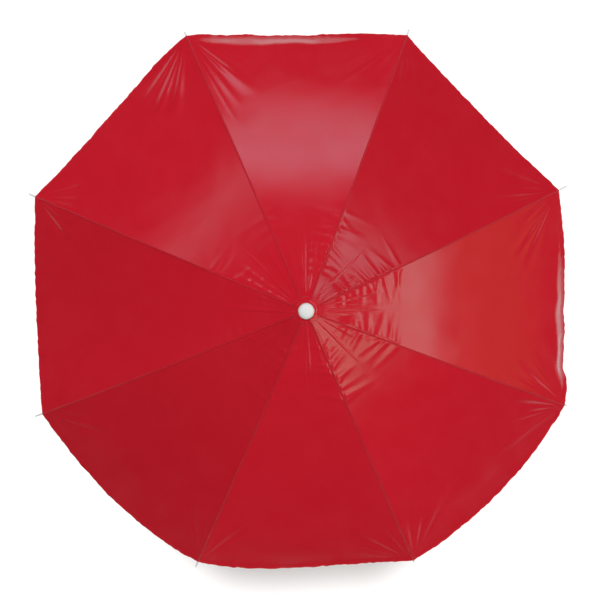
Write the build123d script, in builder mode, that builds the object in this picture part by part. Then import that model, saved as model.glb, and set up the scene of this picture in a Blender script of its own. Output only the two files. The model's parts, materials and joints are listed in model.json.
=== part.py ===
from build123d import *

import os
from math import asin, atan2, cos, degrees, hypot, radians, sin, tan

# Folding beach umbrella, in millimetres, standing upright and open.
# +Z runs up the pole. The origin is on the pole's axis, at the lower end of its lower tube,
# where the ground spike's shoulder meets the tube.
# Ribs stand at 22.5 degrees and every 45 degrees on, so the canopy has flat sides facing X and Y.

# ---- driving dimensions -------------------------------------------------------------------
RIB_COUNT = 8
PANEL_ANGLE = 360 / RIB_COUNT
HALF_PANEL = radians(PANEL_ANGLE / 2)

CROWN_HEIGHT = 1735.0  # plane of the ribs' hinge ring
HINGE_RADIUS = 14.0  # both hinge rings: the ribs' on the crown, the stretchers' on the runner
RIB_LENGTH = 790.0  # along the curved wire, from its hinge
RIB_RADIUS = 1.75
ROOT_SLOPE = radians(15)  # a rib's slope below the horizontal at the crown
TIP_SLOPE = radians(33)  # and at its tip
CLIP_ARC = 250.0  # where along a rib its stretcher joins it
HEM_ARC = 775.0  # where along a rib the canopy's corner sits
STRETCHER_RADIUS = 1.5

UPPER_TUBE_RADIUS = 9.5  # canopy pole and middle pole
LOWER_TUBE_RADIUS = 11.0
TUBE_WALL = 0.9
LOWER_POLE_TOP = 880.0
MID_POLE_BOTTOM = 700.0
TILT_HEIGHT = 1140.0
SPIKE_DEPTH = 100.0
CLAMP_HEIGHT = 897.0

FABRIC_LIFT = 3.0  # from a rib's centreline up to the canopy's underside
FABRIC_THICKNESS = 0.6
HEM_BULGE = 14.0  # how far a panel's hem bows out between its two corners
SEAM_GAP = 0.15

# ---- worked-out geometry ------------------------------------------------------------------
RIB_ARC_RADIUS = RIB_LENGTH / (TIP_SLOPE - ROOT_SLOPE)


def rib_slope(arc):
    """A rib's slope below the horizontal, in radians, at a length along it."""
    return ROOT_SLOPE + (TIP_SLOPE - ROOT_SLOPE) * arc / RIB_LENGTH


def rib_point(arc, lift=0.0):
    """(radius, height) on a rib at a length along it, lifted off its centreline by that much."""
    slope = rib_slope(arc)
    radius = HINGE_RADIUS + RIB_ARC_RADIUS * (sin(slope) - sin(ROOT_SLOPE))
    height = CROWN_HEIGHT + RIB_ARC_RADIUS * (cos(slope) - cos(ROOT_SLOPE))
    return radius + lift * sin(slope), height + lift * cos(slope)


# The stretcher's two pivots. Crown hinge to rib joint and rib joint to runner are the same
# length, so the runner's pivot stays at the crown's radius while the umbrella folds.
JOINT_DROP = 5.0  # a stretcher's pivot below the rib's centreline
JOINT_RADIUS, JOINT_HEIGHT = rib_point(CLIP_ARC, -JOINT_DROP)
RUNNER_HEIGHT = 2 * JOINT_HEIGHT - CROWN_HEIGHT
STRETCHER_LENGTH = hypot(JOINT_RADIUS - HINGE_RADIUS, JOINT_HEIGHT - RUNNER_HEIGHT)
STRETCHER_RISE = atan2(JOINT_HEIGHT - RUNNER_HEIGHT, JOINT_RADIUS - HINGE_RADIUS)

# Flattened ends ("tangs") of the rib and stretcher wires, with an eye for the hinge ring.
TANG_LENGTH = 10.0
TANG_THICKNESS = 2.0
EYE_RADIUS = 2.5
EYE_HOLE = 1.15
RING_WIRE = 1.0
SLOT_WIDTH = 2.4
HUB_RADIUS = 19.0

# Runner and its catch
RUNNER_SLEEVE = 15.5
RUNNER_LENGTH = 52.0
RUNNER_BOTTOM = RUNNER_HEIGHT - RUNNER_LENGTH
CATCH_REACH = 12.8
CATCH_WIDTH = 4.0

# Tie strap, sewn inside the hem of the panel that faces -Y
STRAP_WIDTH = 18.0
STRAP_LENGTH = 130.0
STRAP_RADIUS = 668.0

RIB_AZIMUTHS = [PANEL_ANGLE * (n + 0.5) for n in range(RIB_COUNT)]
PANEL_AZIMUTHS = [PANEL_ANGLE * (n + 1) for n in range(RIB_COUNT)]

os.makedirs("parts", exist_ok=True)


def save(part, name):
    part.label = name
    export_step(part, f"parts/{name}.step")


def tang(start, angle):
    """Sketches a wire's flattened end: a slot shape from the eye at start, at an angle."""
    middle = Vector(*start) + Vector(TANG_LENGTH / 2, 0).rotate(Axis.Z, angle)
    with Locations((middle.X, middle.Y)):
        SlotCenterToCenter(TANG_LENGTH, 2 * EYE_RADIUS, rotation=angle)


# ---- lower pole: tube, ground spike and height clamp --------------------------------------
NECK_LENGTH = 22.0  # swaged top end of the lower tube, inside the clamp collar
NECK_RADIUS = LOWER_TUBE_RADIUS - 0.2
PLUG_RADIUS = LOWER_TUBE_RADIUS - TUBE_WALL

with BuildPart() as lower_pole:
    with BuildSketch(Plane.XZ):
        with BuildLine():
            Polyline(
                (PLUG_RADIUS, 0),
                (LOWER_TUBE_RADIUS, 0),
                (LOWER_TUBE_RADIUS, LOWER_POLE_TOP - NECK_LENGTH),
                (NECK_RADIUS, LOWER_POLE_TOP - NECK_LENGTH),
                (NECK_RADIUS, LOWER_POLE_TOP),
                (PLUG_RADIUS, LOWER_POLE_TOP),
                close=True,
            )
        make_face()
    revolve(axis=Axis.Z)
save(lower_pole.part, "lower_pole")

PLUG_LENGTH = 40.0
SHOULDER = 8.0
SPIKE_TIP_RADIUS = 2.0
FIN_HALF = 2.5
FLUTE = 12.0
FLUTE_LENGTH = 74.0

with BuildPart() as ground_spike:
    with BuildSketch(Plane.XZ):
        with BuildLine():
            Polyline(
                (0, PLUG_LENGTH),
                (PLUG_RADIUS - 1, PLUG_LENGTH),
                (PLUG_RADIUS, PLUG_LENGTH - 3),
                (PLUG_RADIUS, 0),
                (LOWER_TUBE_RADIUS, 0),
                (LOWER_TUBE_RADIUS, -SHOULDER),
                (SPIKE_TIP_RADIUS, SPIKE_TIP_RADIUS - SPIKE_DEPTH),
                (0, -SPIKE_DEPTH),
                close=True,
            )
        make_face()
    revolve(axis=Axis.Z)
    corner = FIN_HALF + FLUTE / 2
    with Locations((0, 0, -SHOULDER - 4 - FLUTE_LENGTH / 2)):
        with GridLocations(2 * corner, 2 * corner, 2, 2):
            Box(FLUTE, FLUTE, FLUTE_LENGTH, mode=Mode.SUBTRACT)
save(ground_spike.part, "ground_spike")

COLLAR_RADIUS = 16.0
COLLAR_BOTTOM = LOWER_POLE_TOP - NECK_LENGTH
COLLAR_TOP = 915.0
GUIDE_RADIUS = UPPER_TUBE_RADIUS + 0.1
BOSS_RADIUS = 8.0
BOSS_END = 24.0
SCREW_HOLE = 3.0
GROOVE_COUNT = 12
GROOVE_RADIUS = 1.2

with BuildPart() as clamp_collar:
    with BuildSketch(Plane.XZ):
        with BuildLine():
            Polyline(
                (NECK_RADIUS, COLLAR_BOTTOM),
                (COLLAR_RADIUS - 2, COLLAR_BOTTOM),
                (COLLAR_RADIUS, COLLAR_BOTTOM + 4),
                (COLLAR_RADIUS, COLLAR_TOP - 4),
                (COLLAR_RADIUS - 3, COLLAR_TOP),
                (GUIDE_RADIUS, COLLAR_TOP),
                (GUIDE_RADIUS, LOWER_POLE_TOP),
                (NECK_RADIUS, LOWER_POLE_TOP),
                close=True,
            )
        make_face()
    revolve(axis=Axis.Z)
    with Locations((0, 0, COLLAR_BOTTOM + 11)):
        with PolarLocations(COLLAR_RADIUS, GROOVE_COUNT, start_angle=15):
            Cylinder(GROOVE_RADIUS, 13, mode=Mode.SUBTRACT)
    with BuildSketch(Plane.YZ.offset(GUIDE_RADIUS + 3)):
        with Locations((0, CLAMP_HEIGHT)):
            Circle(BOSS_RADIUS)
    extrude(amount=BOSS_END - GUIDE_RADIUS - 3)
    with BuildSketch(Plane.YZ):
        with Locations((0, CLAMP_HEIGHT)):
            Circle(SCREW_HOLE)
    extrude(amount=BOSS_END, mode=Mode.SUBTRACT)
save(clamp_collar.part, "clamp_collar")

SCREW_RADIUS = SCREW_HOLE - 0.08
PAD_START = UPPER_TUBE_RADIUS + 0.03
PAD_END = 11.5
KNOB_START = 27.0
KNOB_SPAN = 34.0
KNOB_WIDTH = 11.0
KNOB_DEPTH = 10.0

with BuildPart() as clamp_pad:
    with BuildSketch(Plane.YZ.offset(PAD_START)):
        with Locations((0, CLAMP_HEIGHT)):
            Circle(SCREW_RADIUS)
    extrude(amount=PAD_END - PAD_START)
save(clamp_pad.part, "clamp_pad")

with BuildPart() as clamp_screw:
    with BuildSketch(Plane.YZ.offset(PAD_END + 0.05)):
        with Locations((0, CLAMP_HEIGHT)):
            Circle(SCREW_RADIUS)
    extrude(amount=KNOB_START - PAD_END)
    with BuildSketch(Plane.YZ.offset(KNOB_START)):
        with Locations((0, CLAMP_HEIGHT)):
            SlotOverall(KNOB_SPAN, KNOB_WIDTH)
            Circle(BOSS_RADIUS)
    extrude(amount=KNOB_DEPTH)
    fillet(clamp_screw.faces().sort_by(Axis.X)[-1].edges(), 1.5)
save(clamp_screw.part, "clamp_screw")

# ---- middle pole and tilt joint -----------------------------------------------------------
KNUCKLE_RADIUS = 14.5
KNUCKLE_FLAT = 13.0  # flats on the knuckle's two sides
SOCKET_DEPTH = 22.0
LOWER_KNUCKLE_BOTTOM = TILT_HEIGHT - 50
UPPER_KNUCKLE_TOP = TILT_HEIGHT + 46
EAR_ROUND = 13.0
EAR_BOTTOM = TILT_HEIGHT - 20
FORK_GAP = 6.0
TONGUE_HALF = 5.8
TONGUE_ROUND = 12.5
BARREL_BOTTOM = TILT_HEIGHT + 18
PIN_RADIUS = 4.0
PIN_HEAD = 6.0
BUTTON_RADIUS = 5.0
BUTTON_BORE = BUTTON_RADIUS + 0.08
BUTTON_SEAT = 7.0
BUTTON_BACK = 9.7
BUTTON_FACE = 16.0


def tube(radius, bottom, top):
    """A round tube of the poles' wall thickness, from one height to another."""
    with BuildPart() as made:
        with BuildSketch(Plane.XY.offset(bottom)):
            Circle(radius)
            Circle(radius - TUBE_WALL, mode=Mode.SUBTRACT)
        extrude(amount=top - bottom)
    return made.part


save(
    tube(UPPER_TUBE_RADIUS, MID_POLE_BOTTOM, LOWER_KNUCKLE_BOTTOM + SOCKET_DEPTH),
    "mid_pole",
)

with BuildPart() as tilt_lower_knuckle:
    with BuildSketch(Plane.XY.offset(LOWER_KNUCKLE_BOTTOM)):
        Circle(KNUCKLE_RADIUS)
        Rectangle(3 * KNUCKLE_RADIUS, 2 * KNUCKLE_FLAT, mode=Mode.INTERSECT)
    extrude(amount=TILT_HEIGHT + EAR_ROUND - LOWER_KNUCKLE_BOTTOM)
    with BuildSketch(Plane.XZ):
        with Locations((0, TILT_HEIGHT)):
            Circle(EAR_ROUND)
        with Locations((0, (LOWER_KNUCKLE_BOTTOM + EAR_BOTTOM) / 2)):
            Rectangle(2 * KNUCKLE_RADIUS, EAR_BOTTOM - LOWER_KNUCKLE_BOTTOM)
        with Locations((0, (EAR_BOTTOM + TILT_HEIGHT) / 2)):
            Rectangle(2 * EAR_ROUND, TILT_HEIGHT - EAR_BOTTOM)
    extrude(amount=KNUCKLE_RADIUS, both=True, mode=Mode.INTERSECT)
    with BuildSketch(Plane.XZ):
        with Locations((0, TILT_HEIGHT)):
            Rectangle(3 * KNUCKLE_RADIUS, 2 * (TILT_HEIGHT - EAR_BOTTOM))
    extrude(amount=FORK_GAP, both=True, mode=Mode.SUBTRACT)
    with BuildSketch(Plane.XZ):
        with Locations((0, TILT_HEIGHT)):
            Circle(PIN_RADIUS)
    extrude(amount=KNUCKLE_RADIUS, both=True, mode=Mode.SUBTRACT)
    with BuildSketch(Plane.XZ.offset(-BUTTON_SEAT)):
        with Locations((0, TILT_HEIGHT)):
            Circle(BUTTON_BORE)
    extrude(amount=-KNUCKLE_RADIUS, mode=Mode.SUBTRACT)
    with BuildSketch(Plane.XY.offset(LOWER_KNUCKLE_BOTTOM)):
        Circle(UPPER_TUBE_RADIUS)
    extrude(amount=SOCKET_DEPTH, mode=Mode.SUBTRACT)
    chamfer(tilt_lower_knuckle.faces().sort_by(Axis.Z)[0].outer_wire().edges(), 1)
save(tilt_lower_knuckle.part, "tilt_lower_knuckle")

with BuildPart() as tilt_upper_knuckle:
    with BuildSketch(Plane.XY.offset(BARREL_BOTTOM)):
        Circle(KNUCKLE_RADIUS)
        Rectangle(3 * KNUCKLE_RADIUS, 2 * KNUCKLE_FLAT, mode=Mode.INTERSECT)
    extrude(amount=UPPER_KNUCKLE_TOP - BARREL_BOTTOM)
    chamfer(tilt_upper_knuckle.faces().sort_by(Axis.Z)[-1].edges(), 1)
    with BuildSketch(Plane.XZ):
        with Locations((0, TILT_HEIGHT)):
            Circle(TONGUE_ROUND)
        with Locations((0, (TILT_HEIGHT + BARREL_BOTTOM) / 2 + 1)):
            Rectangle(2 * TONGUE_ROUND, BARREL_BOTTOM - TILT_HEIGHT + 2)
    extrude(amount=TONGUE_HALF, both=True)
    with BuildSketch(Plane.XZ):
        with Locations((0, TILT_HEIGHT)):
            Circle(PIN_RADIUS + 0.05)
    extrude(amount=KNUCKLE_RADIUS, both=True, mode=Mode.SUBTRACT)
    with BuildSketch(Plane.XY.offset(UPPER_KNUCKLE_TOP)):
        Circle(UPPER_TUBE_RADIUS)
    extrude(amount=-SOCKET_DEPTH, mode=Mode.SUBTRACT)
save(tilt_upper_knuckle.part, "tilt_upper_knuckle")

with BuildPart() as tilt_pin:
    with BuildSketch(Plane.XZ.offset(KNUCKLE_FLAT)):
        with Locations((0, TILT_HEIGHT)):
            Circle(PIN_RADIUS)
    extrude(amount=-KNUCKLE_FLAT - BUTTON_SEAT + 0.1)
    with BuildSketch(Plane.XZ.offset(KNUCKLE_FLAT)):
        with Locations((0, TILT_HEIGHT)):
            Circle(PIN_HEAD)
    extrude(amount=2)
    fillet(tilt_pin.faces().sort_by(Axis.Y)[0].edges(), 0.8)
save(tilt_pin.part, "tilt_pin")

with BuildPart() as tilt_button:
    with BuildSketch(Plane.XZ.offset(-BUTTON_BACK)):
        with Locations((0, TILT_HEIGHT)):
            Circle(BUTTON_RADIUS)
    extrude(amount=BUTTON_BACK - BUTTON_FACE)
    fillet(tilt_button.faces().sort_by(Axis.Y)[-1].edges(), 1)
save(tilt_button.part, "tilt_button")

# ---- canopy pole and the catch that holds the runner up -----------------------------------
CATCH_TOP = RUNNER_BOTTOM - 0.4
CATCH_LENGTH = 26.0
CATCH_SLOT = CATCH_LENGTH + 4
RIVET_RADIUS = 1.6
RIVET_HEIGHT = CROWN_HEIGHT - 15
POLE_TOP = CROWN_HEIGHT + 3

with BuildPart() as canopy_pole:
    add(tube(UPPER_TUBE_RADIUS, UPPER_KNUCKLE_TOP - SOCKET_DEPTH, POLE_TOP))
    with Locations((UPPER_TUBE_RADIUS, 0, CATCH_TOP - CATCH_LENGTH / 2)):
        Box(6, CATCH_WIDTH + 0.6, CATCH_SLOT, mode=Mode.SUBTRACT)
    with BuildSketch(Plane.YZ):
        with Locations((0, RIVET_HEIGHT)):
            Circle(RIVET_RADIUS)
    extrude(amount=UPPER_TUBE_RADIUS + 1, both=True, mode=Mode.SUBTRACT)
save(canopy_pole.part, "canopy_pole")

with BuildPart() as runner_catch:
    with BuildSketch(Plane.XZ):
        with BuildLine():
            Polyline(
                (-1, CATCH_TOP + 6),
                (3, CATCH_TOP + 6),
                (7, CATCH_TOP),
                (CATCH_REACH, CATCH_TOP),
                (CATCH_REACH, CATCH_TOP - 3),
                (UPPER_TUBE_RADIUS - 0.5, CATCH_TOP - CATCH_LENGTH),
                (3, CATCH_TOP - CATCH_LENGTH - 6),
                (-1, CATCH_TOP - CATCH_LENGTH - 6),
                close=True,
            )
        make_face()
    extrude(amount=CATCH_WIDTH / 2, both=True)
save(runner_catch.part, "runner_catch")

# ---- runner, with eight slots for the stretchers' eyes ------------------------------------
RUNNER_BORE = UPPER_TUBE_RADIUS + 0.3
FLANGE_HALF = 6.0
SLOT_ROOT = 11.2  # radius at which the hubs' slots begin
SLOT_FLOOR = 3.0
RING_CLEARANCE = 0.05
KEYWAY_RADIUS = CATCH_REACH + 0.5
KEYWAY_WIDTH = CATCH_WIDTH + 0.8


def hub_slots(bottom, top):
    """Cuts the radial slots of a hub, one for each rib, between two heights."""
    with Locations((0, 0, (bottom + top) / 2)):
        with PolarLocations((SLOT_ROOT + HUB_RADIUS + 2) / 2, RIB_COUNT, start_angle=PANEL_ANGLE / 2):
            Box(HUB_RADIUS + 2 - SLOT_ROOT, SLOT_WIDTH, top - bottom, mode=Mode.SUBTRACT)


def ring_groove(bottom, top):
    """The space of the groove that a hinge ring lies in, between two heights."""
    with BuildPart() as made:
        with BuildSketch(Plane.XY.offset(bottom)):
            Circle(HINGE_RADIUS + RING_WIRE + RING_CLEARANCE)
            Circle(HINGE_RADIUS - RING_WIRE - RING_CLEARANCE, mode=Mode.SUBTRACT)
        extrude(amount=top - bottom)
    return made.part


def hinge_ring(height):
    """A wire ring that eight eyes turn on."""
    with BuildPart() as made:
        with Locations((0, 0, height)):
            Torus(HINGE_RADIUS, RING_WIRE)
    return made.part


with BuildPart() as runner:
    with BuildSketch(Plane.XZ):
        with BuildLine():
            Polyline(
                (RUNNER_BORE, RUNNER_BOTTOM),
                (HUB_RADIUS - 1, RUNNER_BOTTOM),
                (HUB_RADIUS, RUNNER_BOTTOM + 2),
                (HUB_RADIUS - 1, RUNNER_BOTTOM + 5),
                (RUNNER_SLEEVE, RUNNER_BOTTOM + 9),
                (RUNNER_SLEEVE, RUNNER_HEIGHT - FLANGE_HALF - 3),
                (HUB_RADIUS, RUNNER_HEIGHT - FLANGE_HALF),
                (HUB_RADIUS, RUNNER_HEIGHT + FLANGE_HALF - 1),
                (HUB_RADIUS - 1, RUNNER_HEIGHT + FLANGE_HALF),
                (RUNNER_BORE, RUNNER_HEIGHT + FLANGE_HALF),
                close=True,
            )
        make_face()
    revolve(axis=Axis.Z)
    hub_slots(RUNNER_HEIGHT - SLOT_FLOOR, RUNNER_HEIGHT + FLANGE_HALF + 1)
    add(ring_groove(RUNNER_HEIGHT - RING_WIRE, RUNNER_HEIGHT + FLANGE_HALF + 1), mode=Mode.SUBTRACT)
    with Locations((KEYWAY_RADIUS / 2, 0, RUNNER_HEIGHT - RUNNER_LENGTH / 2)):
        Box(KEYWAY_RADIUS, KEYWAY_WIDTH, 2 * RUNNER_LENGTH, mode=Mode.SUBTRACT)
save(runner.part, "runner")
save(hinge_ring(RUNNER_HEIGHT), "runner_ring")

# ---- crown on top of the pole, its ring and rivet, the apex patch and the finial ----------
CROWN_TOP = CROWN_HEIGHT + 5.5
CROWN_ROOF = CROWN_HEIGHT + 3.4
CROWN_BOTTOM = CROWN_HEIGHT - FLANGE_HALF
CROWN_SLEEVE = 11.0
SLEEVE_BOTTOM = CROWN_HEIGHT - 22
STUD_RADIUS = 3.9

with BuildPart() as crown:
    with BuildSketch(Plane.XZ):
        with BuildLine():
            Polyline(
                (UPPER_TUBE_RADIUS, SLEEVE_BOTTOM),
                (CROWN_SLEEVE, SLEEVE_BOTTOM),
                (CROWN_SLEEVE, CROWN_BOTTOM),
                (HUB_RADIUS - 1, CROWN_BOTTOM),
                (HUB_RADIUS, CROWN_BOTTOM + 1),
                (HUB_RADIUS, CROWN_TOP - 2.5),
                (HUB_RADIUS - 2.5, CROWN_TOP),
                (STUD_RADIUS + 0.1, CROWN_TOP),
                (STUD_RADIUS + 0.1, CROWN_ROOF),
                (UPPER_TUBE_RADIUS, CROWN_ROOF),
                close=True,
            )
        make_face()
    revolve(axis=Axis.Z)
    hub_slots(CROWN_BOTTOM - 1, CROWN_HEIGHT + SLOT_FLOOR)
    add(ring_groove(CROWN_BOTTOM - 1, CROWN_HEIGHT + RING_WIRE), mode=Mode.SUBTRACT)
    with BuildSketch(Plane.YZ):
        with Locations((0, RIVET_HEIGHT)):
            Circle(RIVET_RADIUS)
    extrude(amount=HUB_RADIUS, both=True, mode=Mode.SUBTRACT)
save(crown.part, "crown")
save(hinge_ring(CROWN_HEIGHT), "crown_ring")

with BuildPart() as crown_rivet:
    with BuildSketch(Plane.YZ):
        with Locations((0, RIVET_HEIGHT)):
            Circle(RIVET_RADIUS)
    extrude(amount=CROWN_SLEEVE, both=True)
    for side in (-1, 1):
        with BuildSketch(Plane.YZ.offset(side * CROWN_SLEEVE)):
            with Locations((0, RIVET_HEIGHT)):
                Circle(RIVET_RADIUS + 1.1)
        extrude(amount=side * 0.9)
save(crown_rivet.part, "crown_rivet")

PATCH_BASE = CROWN_HEIGHT + 7.1
PATCH_THICKNESS = 0.6
PATCH_FLAT = 18.0
PATCH_RADIUS = 33.0
PATCH_DROP = 1.8
FINIAL_BASE = PATCH_BASE + PATCH_THICKNESS
FINIAL_RADIUS = 18.7
FINIAL_SKIRT = 7.0
FINIAL_DOME = 12.0

with BuildPart() as apex_patch:
    with BuildSketch(Plane.XZ):
        with BuildLine():
            Polyline(
                (STUD_RADIUS + 0.1, PATCH_BASE),
                (PATCH_FLAT, PATCH_BASE),
                (PATCH_RADIUS, PATCH_BASE - PATCH_DROP),
                (PATCH_RADIUS, PATCH_BASE - PATCH_DROP + PATCH_THICKNESS),
                (PATCH_FLAT, FINIAL_BASE),
                (STUD_RADIUS + 0.1, FINIAL_BASE),
                close=True,
            )
        make_face()
    revolve(axis=Axis.Z)
save(apex_patch.part, "apex_patch")

with BuildPart() as finial:
    with BuildSketch(Plane.XZ):
        with BuildLine():
            Polyline(
                (0, CROWN_HEIGHT - 12),
                (STUD_RADIUS, CROWN_HEIGHT - 12),
                (STUD_RADIUS, FINIAL_BASE),
                (FINIAL_RADIUS - 1, FINIAL_BASE),
                (FINIAL_RADIUS, FINIAL_BASE + 1),
                (FINIAL_RADIUS, FINIAL_BASE + FINIAL_SKIRT),
            )
            Spline(
                (FINIAL_RADIUS, FINIAL_BASE + FINIAL_SKIRT),
                (0, FINIAL_BASE + FINIAL_SKIRT + FINIAL_DOME),
                tangents=((0, 1), (-1, 0)),
            )
            Line((0, FINIAL_BASE + FINIAL_SKIRT + FINIAL_DOME), (0, CROWN_HEIGHT - 12))
        make_face()
    revolve(axis=Axis.Z)
save(finial.part, "finial")

# ---- ribs, their tips and their stretcher clips -------------------------------------------
WIRE_START = TANG_LENGTH - 1
RIB_END = RIB_LENGTH - 4

with BuildPart() as rib:
    with BuildLine(Plane.XZ) as rib_path:
        ThreePointArc(rib_point(WIRE_START), rib_point(RIB_LENGTH / 2), rib_point(RIB_END))
    with BuildSketch(Plane(rib_path.line @ 0, z_dir=rib_path.line % 0)):
        Circle(RIB_RADIUS)
    sweep()
    with BuildSketch(Plane.XZ):
        tang(rib_point(0), -degrees(ROOT_SLOPE))
    extrude(amount=TANG_THICKNESS / 2, both=True)
    with BuildSketch(Plane.XZ):
        with Locations(rib_point(0)):
            Circle(EYE_HOLE)
    extrude(amount=TANG_THICKNESS, both=True, mode=Mode.SUBTRACT)


def across_rib(arc):
    """Plane square to a rib at a length along it: x is sideways and y is up off the rib."""
    radius, height = rib_point(arc)
    slope = rib_slope(arc)
    return Plane((radius, 0, height), x_dir=(0, 1, 0), z_dir=(cos(slope), 0, -sin(slope)))


TIP_START = 768.0
TIP_RADIUS = 2.4
TIP_NECK = 1.7
TIP_BALL = 2.6
TIP_SHANK = RIB_LENGTH - TIP_START

with BuildPart() as rib_tip:
    with BuildSketch(across_rib(TIP_START)):
        Circle(TIP_RADIUS)
    extrude(amount=TIP_SHANK - 3)
    with BuildSketch(across_rib(TIP_START).offset(TIP_SHANK - 3)):
        Circle(TIP_RADIUS)
    extrude(amount=5, taper=degrees(atan2(TIP_RADIUS - TIP_NECK, 5)))
    with Locations(across_rib(TIP_START).offset(TIP_SHANK + 2.5)):
        Sphere(TIP_BALL)
    with BuildSketch(across_rib(TIP_START)):
        Circle(RIB_RADIUS + 0.1)
    extrude(amount=RIB_END - TIP_START + 0.1, mode=Mode.SUBTRACT)

CLIP_LENGTH = 14.0
CLIP_INNER = RIB_RADIUS + 0.05
CLIP_WALL = 0.65
CLIP_OUTER = CLIP_INNER + CLIP_WALL
CLIP_DEPTH = 8.5
PIVOT_RADIUS = 1.25

with BuildPart() as rib_clip:
    with BuildSketch(across_rib(CLIP_ARC).offset(-CLIP_LENGTH / 2)):
        Circle(CLIP_OUTER)
        with Locations((0, -CLIP_DEPTH / 2)):
            Rectangle(2 * CLIP_OUTER, CLIP_DEPTH)
        Circle(CLIP_INNER, mode=Mode.SUBTRACT)
        with Locations((0, -CLIP_DEPTH / 2)):
            Rectangle(2 * CLIP_INNER, CLIP_DEPTH, mode=Mode.SUBTRACT)
    extrude(amount=CLIP_LENGTH)
    with BuildSketch(Plane.XZ):
        with Locations((JOINT_RADIUS, JOINT_HEIGHT)):
            Circle(PIVOT_RADIUS)
    extrude(amount=CLIP_OUTER + 1, both=True, mode=Mode.SUBTRACT)

with BuildPart() as clip_rivet:
    with BuildSketch(Plane.XZ):
        with Locations((JOINT_RADIUS, JOINT_HEIGHT)):
            Circle(PIVOT_RADIUS)
    extrude(amount=CLIP_OUTER, both=True)
    for side in (-1, 1):
        with BuildSketch(Plane.XZ.offset(side * CLIP_OUTER)):
            with Locations((JOINT_RADIUS, JOINT_HEIGHT)):
                Circle(PIVOT_RADIUS + 1)
        extrude(amount=side * 0.7)

# ---- stretchers ---------------------------------------------------------------------------
with BuildPart() as stretcher:
    along = Vector(cos(STRETCHER_RISE), 0, sin(STRETCHER_RISE))
    foot = Vector(HINGE_RADIUS, 0, RUNNER_HEIGHT)
    with BuildSketch(Plane(foot + along * WIRE_START, z_dir=along)):
        Circle(STRETCHER_RADIUS)
    extrude(amount=STRETCHER_LENGTH - 2 * WIRE_START)
    with BuildSketch(Plane.XZ):
        tang((HINGE_RADIUS, RUNNER_HEIGHT), degrees(STRETCHER_RISE))
        tang((JOINT_RADIUS, JOINT_HEIGHT), degrees(STRETCHER_RISE) + 180)
    extrude(amount=TANG_THICKNESS / 2, both=True)
    with BuildSketch(Plane.XZ):
        with Locations((HINGE_RADIUS, RUNNER_HEIGHT)):
            Circle(EYE_HOLE)
        with Locations((JOINT_RADIUS, JOINT_HEIGHT)):
            Circle(PIVOT_RADIUS + 0.08)
    extrude(amount=TANG_THICKNESS, both=True, mode=Mode.SUBTRACT)

# ---- canopy panels: a ruled sheet from each rib to the next, its hem bowed out ------------
APEX_LIFT = 6.0
PANEL_INNER = 8.0
CORNER_RADIUS = rib_point(HEM_ARC, FABRIC_LIFT)[0]
CORNER_IN = CORNER_RADIUS * cos(HALF_PANEL)
CORNER_SIDE = CORNER_RADIUS * sin(HALF_PANEL)
PANEL_ARCS = [75 + 90 * n for n in range(9)]
EDGE_INSET = SEAM_GAP / cos(HALF_PANEL)

with BuildPart() as panel:
    with BuildSketch(Plane.XZ):
        under = [(18.0, CROWN_HEIGHT + APEX_LIFT)]
        for arc in PANEL_ARCS:
            radius, height = rib_point(arc, FABRIC_LIFT)
            under.append((radius * cos(HALF_PANEL), height))
        over = [(radius, height + FABRIC_THICKNESS) for radius, height in under]
        with BuildLine():
            Line((PANEL_INNER, under[0][1]), under[0])
            Spline(*under)
            Line(under[-1], over[-1])
            Spline(*over)
            Line(over[0], (PANEL_INNER, over[0][1]))
            Line((PANEL_INNER, over[0][1]), (PANEL_INNER, under[0][1]))
        make_face()
    extrude(amount=CORNER_SIDE + 1, both=True)
    with BuildSketch(Plane.XY.offset(CROWN_HEIGHT + 20)):
        with BuildLine():
            inner_side = PANEL_INNER * tan(HALF_PANEL) - EDGE_INSET
            Line((PANEL_INNER, inner_side), (PANEL_INNER, -inner_side))
            Line((PANEL_INNER, -inner_side), (CORNER_IN, EDGE_INSET - CORNER_SIDE))
            ThreePointArc(
                (CORNER_IN, EDGE_INSET - CORNER_SIDE),
                (CORNER_IN + HEM_BULGE, 0),
                (CORNER_IN, CORNER_SIDE - EDGE_INSET),
            )
            Line((CORNER_IN, CORNER_SIDE - EDGE_INSET), (PANEL_INNER, inner_side))
        make_face()
    extrude(amount=-CORNER_RADIUS, mode=Mode.INTERSECT)

# ---- tie strap, hanging inside the hem ----------------------------------------------------
strap_arc = RIB_LENGTH * (
    asin((STRAP_RADIUS / cos(HALF_PANEL) - HINGE_RADIUS) / RIB_ARC_RADIUS + sin(ROOT_SLOPE)) - ROOT_SLOPE
) / (TIP_SLOPE - ROOT_SLOPE)
STRAP_TOP = rib_point(strap_arc, FABRIC_LIFT)[1] - 3

with BuildPart() as tie_strap:
    with BuildSketch(Plane.XZ):
        with Locations((0, STRAP_TOP - STRAP_LENGTH / 2)):
            RectangleRounded(STRAP_WIDTH, STRAP_LENGTH, 4)
    extrude(amount=0.6, both=True)
save(tie_strap.part.moved(Location((0, -STRAP_RADIUS, 0))), "tie_strap")

# ---- the eight of each --------------------------------------------------------------------
for number, azimuth in enumerate(RIB_AZIMUTHS, start=1):
    save(rib.part.rotate(Axis.Z, azimuth), f"rib_{number}")
    save(rib_tip.part.rotate(Axis.Z, azimuth), f"rib_tip_{number}")
    clip_and_rivet = Compound([rib_clip.part, clip_rivet.part])
    save(clip_and_rivet.rotate(Axis.Z, azimuth), f"rib_clip_{number}")
    save(stretcher.part.rotate(Axis.Z, azimuth), f"stretcher_{number}")

for number, azimuth in enumerate(PANEL_AZIMUTHS, start=1):
    save(panel.part.rotate(Axis.Z, azimuth), f"canopy_panel_{number}")
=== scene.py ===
import json
from math import cos, pi, radians, sin, tan
from random import Random

import bpy
import numpy as np
from mathutils import Matrix, Vector


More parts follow.
